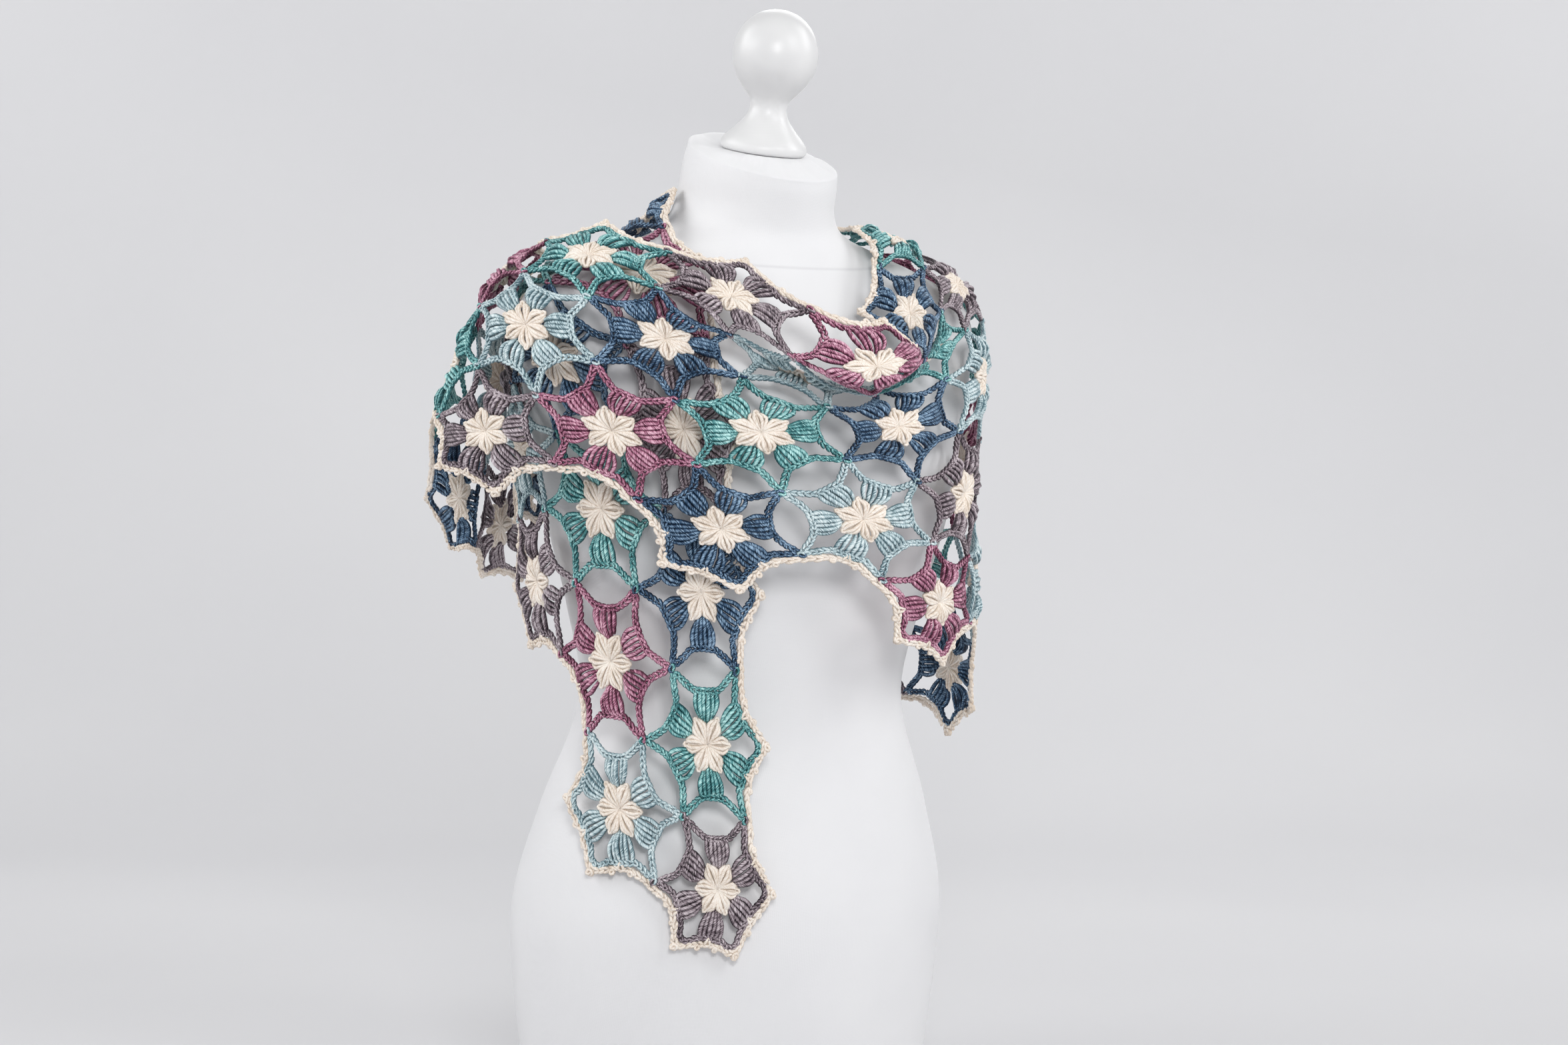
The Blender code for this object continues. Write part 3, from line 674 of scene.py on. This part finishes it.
def add_motif(yarn, place, row, letter):
    """Add one motif's stitches."""
    slot = LETTERS.index(letter)
    centre = np.array([place * PITCH, row * ROW_STEP, 0.0])
    free = [neighbour(place, row, side) not in CENTRES for side in range(6)]
    line, reaches = frame_line(free)
    heart = star()
    heart = heart + wobble((len(heart), 1, 3), 0.16) + wobble(heart.shape, 0.10)
    yarn.add(heart + centre, STAR_YARN, CREAM, profile=STAR_SIZES)
    yarn.add(star_floor() + centre, FLOOR_YARN, CREAM, profile=FLOOR_SIZES)
    tips = star_tips()
    yarn.add(tips + centre + wobble((len(tips), 1, 3), 0.25), TIP_YARN, CREAM, closed=True)
    fans = clusters(reaches)
    fans = fans + wobble((len(fans), 1, 3), 0.2) + wobble(fans.shape, 0.12)
    yarn.add(fans + centre, CLUSTER_YARN, slot, profile=CLUSTER_SIZES)
    line = line + wobble(line.shape, 0.35) * np.array([1, 1, 0.4])
    arms = stitch_arms(line, CHAIN_PITCH, CHAIN_HALF, closed=True, loose=0.14)
    yarn.add(arms + centre, CHAIN_YARN, slot, profile=ARM_SIZES)


def add_knot(yarn, corner, letters):
    """Small knot where motifs meet: short loops in the colours of its motifs."""
    t = np.linspace(0, 2 * np.pi, 8, endpoint=False)
    for k, letter in enumerate(letters):
        turn = 2 * np.pi * k / len(letters) + 0.6
        ring = np.stack([2.9 * np.cos(t), 1.7 * np.sin(t), 0.9 + 1.2 * np.sin(t + 1.0)], axis=1)
        spin = ring.copy()
        spin[:, 0] = ring[:, 0] * math.cos(turn) - ring[:, 1] * math.sin(turn)
        spin[:, 1] = ring[:, 0] * math.sin(turn) + ring[:, 1] * math.cos(turn)
        yarn.add((spin + corner)[None], KNOT_YARN, LETTERS.index(letter), closed=True)


def stretch_name(place):
    """The stretch that a place along the neck edge belongs to."""
    for name, last in STRETCHES:
        if place < last:
            return name
    return STRETCHES[-1][0]


def build_motifs():
    """One piece for each stretch of the wound shawl."""
    pieces = {name: Yarn() for name, _ in STRETCHES}
    nodes = {name: [] for name, _ in STRETCHES}
    corners = {}
    for row, first, yarns in MOTIF_ROWS:
        for k, letter in enumerate(yarns):
            place = first + k
            name = stretch_name(place)
            add_motif(pieces[name], place, row, letter)
            nodes[name].append(f"motif_{name}_row{row}_{k + 1:02d}")
            for side in range(6):
                a = math.radians(60 * side + 30)
                x = round(place * PITCH + CORNER_REACH * math.cos(a), 2)
                y = round(row * ROW_STEP + CORNER_REACH * math.sin(a), 2)
                at = (x, y)
                corners.setdefault(at, []).append((letter, name))
    for at, users in corners.items():
        if len(users) > 1:
            letters = [u[0] for u in users][:2]
            add_knot(pieces[users[0][1]], np.array([at[0], at[1], 0.0]), letters)
    made = {}
    for name, yarn in pieces.items():
        obj = yarn.build("crochet_" + name, yarn_mats)
        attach(obj, "root")
        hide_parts(*nodes[name])
        made[name] = (obj, len(nodes[name]))
    return made


# Edging
def boundary_sides():
    """The free sides in order round the layout, each as place, row and side."""
    current = (MOTIF_ROWS[0][1], 0, OVER_END_SIDE)
    order = []
    while current not in order:
        order.append(current)
        place, row, side = current
        following = (side + 1) % 6
        beyond = neighbour(place, row, following)
        if beyond in CENTRES:
            current = (*beyond, (following + 4) % 6)
        else:
            current = (place, row, following)
    return order


def edging_line():
    """Middle line of the edging, and what each of its points belongs to."""
    order = boundary_sides()
    points = []
    marks = []
    for k, (place, row, side) in enumerate(order):
        centre = np.array([place * PITCH, row * ROW_STEP, 0.0])
        out = 60 * side
        for offset in (-EDGING_OFFSET, EDGING_OFFSET):
            marks.append(("side", centre, out))
            points.append(centre + rotate(np.array([EDGING_REACH, offset, 0.2]), out))
        corner = out + 30
        if order[(k + 1) % len(order)][:2] == (place, row):
            for offset, reach in EDGING_CORNER:
                marks.append(("corner" if offset == 0 else "bend", centre, corner))
                points.append(centre + rotate(np.array([reach, offset, 0.2]), corner))
        else:
            joint = centre + rotate(np.array([CORNER_REACH, 0.0, 0.2]), corner)
            marks.append(("joint", centre, corner))
            points.append(joint + rotate(np.array([EDGING_JOINT, 0.0, 0.0]), corner - 60))
    return points, marks


def build_edging():
    """Cream chain edging with picots at free corners and stitches into the motifs."""
    points, marks = edging_line()
    total = len(points)
    made = {}
    for name, begin, end in EDGING_STRIPS:
        first = round(begin * total)
        last = round(end * total)
        run = np.array([points[k % total] for k in range(first, last + 1)])
        run[0] = 0.93 * run[0] + 0.07 * run[1]
        run[-1] = 0.93 * run[-1] + 0.07 * run[-2]
        fine = []
        for k in range(len(run) - 1):
            for share in np.linspace(0, 1, 6, endpoint=False):
                fine.append(run[k] * (1 - share) + run[k + 1] * share)
        fine.append(run[-1])
        fine = np.array(fine)
        for _ in range(4):
            fine[1:-1] = 0.25 * fine[:-2] + 0.5 * fine[1:-1] + 0.25 * fine[2:]
        fine[1:-1] += rng.normal(0.0, 0.35, (len(fine) - 2, 3))
        yarn = Yarn()
        arms = stitch_arms(fine, EDGING_PITCH, EDGING_HALF, closed=False, loose=0.4)
        yarn.add(arms, EDGING_YARN, CREAM, profile=ARM_SIZES)
        t = np.linspace(0, 2 * np.pi, 9, endpoint=False)
        for k in range(first, last):
            kind, centre, direction = marks[k % total]
            if kind == "corner":
                for tilt in (-0.9, 0.0, 0.9):
                    height = 0.5 + 1.3 * np.sin(t + 2 * tilt)
                    ring = np.stack([PICOT_REACH + 2.3 * np.cos(t), 1.9 * np.sin(t) + tilt, height], axis=1)
                    yarn.add((rotate(ring, direction) + centre)[None], PICOT_YARN, CREAM, closed=True)
            if kind == "side":
                shift = BUMP_SHIFT if k % 2 else -BUMP_SHIFT
                height = 0.6 + 0.8 * np.sin(t + shift)
                ring = np.stack([BUMP_REACH + 1.9 * np.cos(t), shift + 1.7 * np.sin(t), height], axis=1)
                yarn.add((rotate(ring, direction) + centre)[None], BUMP_YARN, CREAM, closed=True)
            if kind == "side" and k % 2:
                s = np.linspace(0, 1, 5)
                for lane in (-1, 1):
                    height = 1.4 + 0.6 * np.sin(np.pi * s)
                    strand = np.stack([TIE_FROM + TIE_LENGTH * s, lane * (0.5 + 1.9 * s), height], axis=1)
                    yarn.add((rotate(strand, direction) + centre)[None], TIE_YARN, CREAM)
        obj = yarn.build("crochet_" + name, yarn_mats)
        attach(obj, "root")
        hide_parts(name)
        made[name] = obj
    return made


# Dress form, in mm: height, half width, half depth, centre and power of each outline
FORM = [
    (0, 154, 132, 44, 2.1),
    (40, 158, 136, 44, 2.1),
    (100, 165, 142, 42, 2.1),
    (160, 167, 140, 38, 2.15),
    (230, 150, 122, 30, 2.2),
    (310, 125, 103, 20, 2.2),
    (380, 139, 110, 14, 2.2),
    (440, 157, 116, 10, 2.25),
    (500, 170, 116, 8, 2.3),
    (550, 183, 106, 8, 2.4),
    (590, 190, 90, 8, 2.5),
    (612, 180, 76, 8, 2.5),
    (630, 146, 66, 8, 2.3),
    (645, 106, 62, 8, 2.1),
    (658, 74, 59, 6, 2.0),
    (675, 61, 58, 2, 2.0),
    (700, 58, 57, -5, 2.0),
    (712, 56, 55, -9, 2.0),
]
BUST_SIDE, BUST_HEIGHT, BUST_WIDTH, BUST_LENGTH = 72.0, 490.0, 52.0, 58.0
BUST_GROWTH, BUST_SPREAD = 0.20, 0.15
NECK_TOP, NECK_TOP_Y = 712.0, -9.0
NECK_SLOPE, NECK_SLOPE_FROM = 0.40, 632
CAP_LEAN = math.radians(13.0)
NECK_RINGS = (
    # radius, lift above the neck's top, slope, share of the gathers
    (55.4, 1.2, 0.40, 0.3),
    (53.6, 2.2, 0.40, 0.7),
    (50.0, 3.2, 0.38, 1.0),
    (45.0, 3.8, 0.34, 1.2),
    (40.0, 4.2, 0.28, 1.1),
    (36.0, 4.4, math.tan(CAP_LEAN), 0.6),
    (26.0, 4.4, math.tan(CAP_LEAN), 0.0),
)
GATHERS = (
    # turn, width in degrees, depth in mm
    (-58, 5, 1.5), (-44, 4, 1.1), (-33, 3.5, 1.5), (-22, 4, 0.9), (-8, 5, 1.3), (12, 6, 1.0),
    (47, 7, 1.1), (100, 7, 1.3), (150, 8, 1.1), (205, 7, 1.2), (250, 8, 1.0),
)
CAP_HEIGHT = 105.6
CAP_PROFILE = [
    # height, radius
    (0.0, 30.0), (1.5, 32.0), (6.0, 32.0), (10.0, 29.5), (17.0, 23.0), (25.0, 16.5),
    (33.0, 13.8), (39.0, 15.0), (46.0, 20.5), (54.0, 26.5), (63.0, 30.6), (72.0, 31.8),
    (81.0, 30.8), (90.0, 27.2), (98.0, 20.8), (103.5, 12.5), (CAP_HEIGHT, 5.0),
]


def smooth_table(table, at):
    """Smooth curve through a table's rows at the given heights."""
    table = np.array(table, dtype=float)
    weights = hermite_weights(np.asarray(at, dtype=float), table[:, 0])
    return weights @ table[:, 1:]


def loft(name, rings, base, crown, mat):
    """Closed round piece through rings of the same count."""
    rings = np.array(rings)
    levels, n, _ = rings.shape
    points = np.vstack([rings.reshape(-1, 3), [base], [crown]]) * MM
    faces = []
    for level in range(levels - 1):
        for k in range(n):
            a = level * n + k
            b = level * n + (k + 1) % n
            faces.append((a, b, b + n, a + n))
    last = (levels - 1) * n
    for k in range(n):
        faces.append((levels * n, (k + 1) % n, k))
        faces.append((levels * n + 1, last + k, last + (k + 1) % n))
    mesh = bpy.data.meshes.new(name)
    mesh.from_pydata(points.tolist(), [], faces)
    mesh.materials.append(mat)
    mesh.polygons.foreach_set("use_smooth", [True] * len(faces))
    mesh.update()
    obj = bpy.data.objects.new(name, mesh)
    bpy.context.scene.collection.objects.link(obj)
    return obj


def build_torso():
    """Jersey-covered torso, finer than its solid, with small gathers under the cap."""
    heights = np.concatenate([np.linspace(0, 600, 76), np.linspace(606, NECK_TOP, 34)])
    n = 120
    angle = 2 * np.pi * np.arange(n) / n
    s, c = np.sin(angle), np.cos(angle)
    rings = []
    for height in heights:
        half_width, half_depth, middle, power = smooth_table(FORM, [height])[0]
        x = half_width * np.sign(s) * np.abs(s) ** (2 / power)
        y = -half_depth * np.sign(c) * np.abs(c) ** (2 / power)
        for side in (-BUST_SIDE, BUST_SIDE):
            rise = np.exp(-((x - side) / BUST_WIDTH) ** 2 - ((height - BUST_HEIGHT) / BUST_LENGTH) ** 2)
            grow = BUST_GROWTH * rise * np.maximum(c, 0.0)
            x = x + x * grow * BUST_SPREAD
            y = y + y * grow
        slope = NECK_SLOPE * np.clip((height - NECK_SLOPE_FROM) / (NECK_TOP - NECK_SLOPE_FROM), 0, 1) ** 1.5
        rings.append(np.stack([x, middle + y, height + slope * y], axis=1))
    folds = np.zeros(n)
    for at, width, depth in GATHERS:
        away = (np.degrees(angle) - at + 180) % 360 - 180
        folds -= depth * np.exp(-(away / width) ** 2)
    for radius, lift, slope, share in NECK_RINGS:
        ahead = radius * c
        height = NECK_TOP + lift - slope * ahead + folds * share
        rings.append(np.stack([radius * s, NECK_TOP_Y - ahead, height], axis=1))
    obj = loft("jersey_torso", rings, (0, 44, 0), (0, NECK_TOP_Y, NECK_TOP + 4.3), jersey_material())
    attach(obj, "root")
    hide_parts("torso_form")


def build_cap():
    """Turned neck cap, finer than its solid."""
    up = np.array([0.0, -math.sin(CAP_LEAN), math.cos(CAP_LEAN)])
    ahead = np.array([0.0, -math.cos(CAP_LEAN), -math.sin(CAP_LEAN)])
    across = np.array([1.0, 0.0, 0.0])
    seat = np.array([0.0, NECK_TOP_Y, NECK_TOP + 4.5]) + up * 0.3
    foot = [0.0, 0.6, 1.5, 3.0, 4.5, 6.0]
    heights = np.concatenate([foot, np.linspace(7.5, 103.5, 65), [104.6, 105.3, CAP_HEIGHT]])
    radii = smooth_table(CAP_PROFILE, heights)[:, 0]
    n = 72
    a = 2 * np.pi * np.arange(n) / n
    rings = []
    for height, radius in zip(heights, radii):
        outwards = np.sin(a)[:, None] * across + np.cos(a)[:, None] * ahead
        rings.append(seat + up * height + radius * outwards)
    obj = loft("turned_cap", rings, seat, seat + up * 105.8, cap_material())
    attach(obj, "root")
    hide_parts("neck_cap")


# Build it all
build_torso()
build_cap()
stretches = build_motifs()
edging = build_edging()


# Floor, light and camera
AZIMUTH = math.radians(-35.0)
ELEVATION = math.radians(1.0)
DISTANCE = 2.4
RIGHT = np.array([math.cos(AZIMUTH), math.sin(AZIMUTH), 0.0])
BACK = np.array([
    math.sin(AZIMUTH) * math.cos(ELEVATION),
    -math.cos(AZIMUTH) * math.cos(ELEVATION),
    math.sin(ELEVATION),
])
UP = np.cross(BACK, RIGHT)
AIM = np.array([0.0, 0.0, 0.440]) + RIGHT * 0.021
LEVEL_BACK = np.array([BACK[0], BACK[1], 0.0])
LEVEL_BACK /= np.linalg.norm(LEVEL_BACK)
FLOOR_AHEAD = (1.9, 1.2, 0.5)
FLOOR_SIDES = (-2.4, -1.0, 1.0, 2.4)
SWEEP_BACK, SWEEP_BEND, SWEEP_STEPS = 1.6, 1.2, 16
WALL_HEIGHTS = (4.0, 7.0)
FLOOR_DROP = 0.0008


def matrix(right, up, back, at):
    """A world matrix from three directions and a place."""
    made = np.eye(4)
    made[:3, 0], made[:3, 1], made[:3, 2], made[:3, 3] = right, up, back, at
    return Matrix(made.tolist())


def build_backdrop():
    """Pale floor that sweeps up behind the form."""
    profile = [(ahead, 0.0) for ahead in FLOOR_AHEAD]
    for k in range(SWEEP_STEPS + 1):
        a = math.pi / 2 * k / SWEEP_STEPS
        profile.append((-SWEEP_BACK - SWEEP_BEND * math.sin(a), SWEEP_BEND - SWEEP_BEND * math.cos(a)))
    profile += [(-SWEEP_BACK - SWEEP_BEND, height) for height in WALL_HEIGHTS]
    points = []
    for ahead, height in profile:
        for side in FLOOR_SIDES:
            at = LEVEL_BACK * ahead + RIGHT * side
            points.append((at[0], at[1], height - FLOOR_DROP))
    faces = []
    for k in range(len(profile) - 1):
        for j in range(3):
            a = 4 * k + j
            faces.append((a, a + 1, a + 5, a + 4))
    mesh = bpy.data.meshes.new("pale_floor")
    mesh.from_pydata(points, [], faces)
    mesh.materials.append(backdrop_material())
    mesh.polygons.foreach_set("use_smooth", [True] * len(faces))
    mesh.update()
    obj = bpy.data.objects.new("pale_floor", mesh)
    bpy.context.scene.collection.objects.link(obj)


def area_light(name, at, target, size, power):
    """A soft box at a place, turned to its target and unseen by the camera."""
    data = bpy.data.lights.new(name, "AREA")
    data.shape = "RECTANGLE"
    data.size, data.size_y = size
    data.energy = power
    at = np.array(at, dtype=float)
    back = at - np.array(target, dtype=float)
    back /= np.linalg.norm(back)
    right = np.cross((0, 0, 1), back)
    right /= np.linalg.norm(right)
    obj = bpy.data.objects.new(name, data)
    obj.matrix_world = matrix(right, np.cross(back, right), back, at)
    obj.visible_camera = False
    bpy.context.scene.collection.objects.link(obj)


build_backdrop()
FORM_MIDDLE = (0, 0, 0.42)
BACKDROP_MIDDLE = -LEVEL_BACK * 2.6 + (0, 0, 0.8)
SOFT_BOXES = [
    # name, how far towards the camera, to its right and up, target, size, power
    ("front_box", 2.3, 0.25, 1.15, (0, 0, 0.45), (0.55, 0.55), 23),
    ("right_box", 1.5, 1.7, 1.7, FORM_MIDDLE, (1.0, 1.0), 15),
    ("left_box", 0.9, -2.0, 1.5, FORM_MIDDLE, (1.0, 1.0), 13),
    ("top", 1.0, 0.0, 2.7, (0, 0, 0.3), (1.6, 1.6), 6),
    ("rear_box", -1.9, 0.4, 2.0, FORM_MIDDLE, (1.4, 1.4), 13),
    ("backdrop_left", -0.4, -2.6, 2.2, BACKDROP_MIDDLE, (1.2, 2.0), 46),
    ("backdrop_right", -0.4, 2.6, 2.2, BACKDROP_MIDDLE, (1.2, 2.0), 46),
]
for name, ahead, aside, height, target, size, power in SOFT_BOXES:
    area_light(name, LEVEL_BACK * ahead + RIGHT * aside + (0, 0, height), target, size, power)

world = bpy.data.worlds.new("studio")
world.use_nodes = True
sky = world.node_tree
background = sky.nodes["Background"]
background.inputs[0].default_value = (0.97, 0.975, 1.0, 1.0)
direction = sky.nodes.new("ShaderNodeTexCoord")
parts = sky.nodes.new("ShaderNodeSeparateXYZ")
glow = node(sky, "ShaderNodeMapRange", in_1=0.03, in_2=0.40, in_3=0.62, in_4=0.08)
sky.links.new(direction.outputs["Generated"], parts.inputs[0])
sky.links.new(parts.outputs[2], glow.inputs[0])
sky.links.new(glow.outputs[0], background.inputs[1])
bpy.context.scene.world = world
bpy.context.scene.view_settings.view_transform = "Standard"

camera_data = bpy.data.cameras.new("camera")
camera_data.sensor_width = 36.0
camera_data.lens = 73.47
camera = bpy.data.objects.new("camera", camera_data)
camera.matrix_world = matrix(RIGHT, UP, BACK, AIM + BACK * DISTANCE)
bpy.context.scene.collection.objects.link(camera)
bpy.context.scene.camera = camera
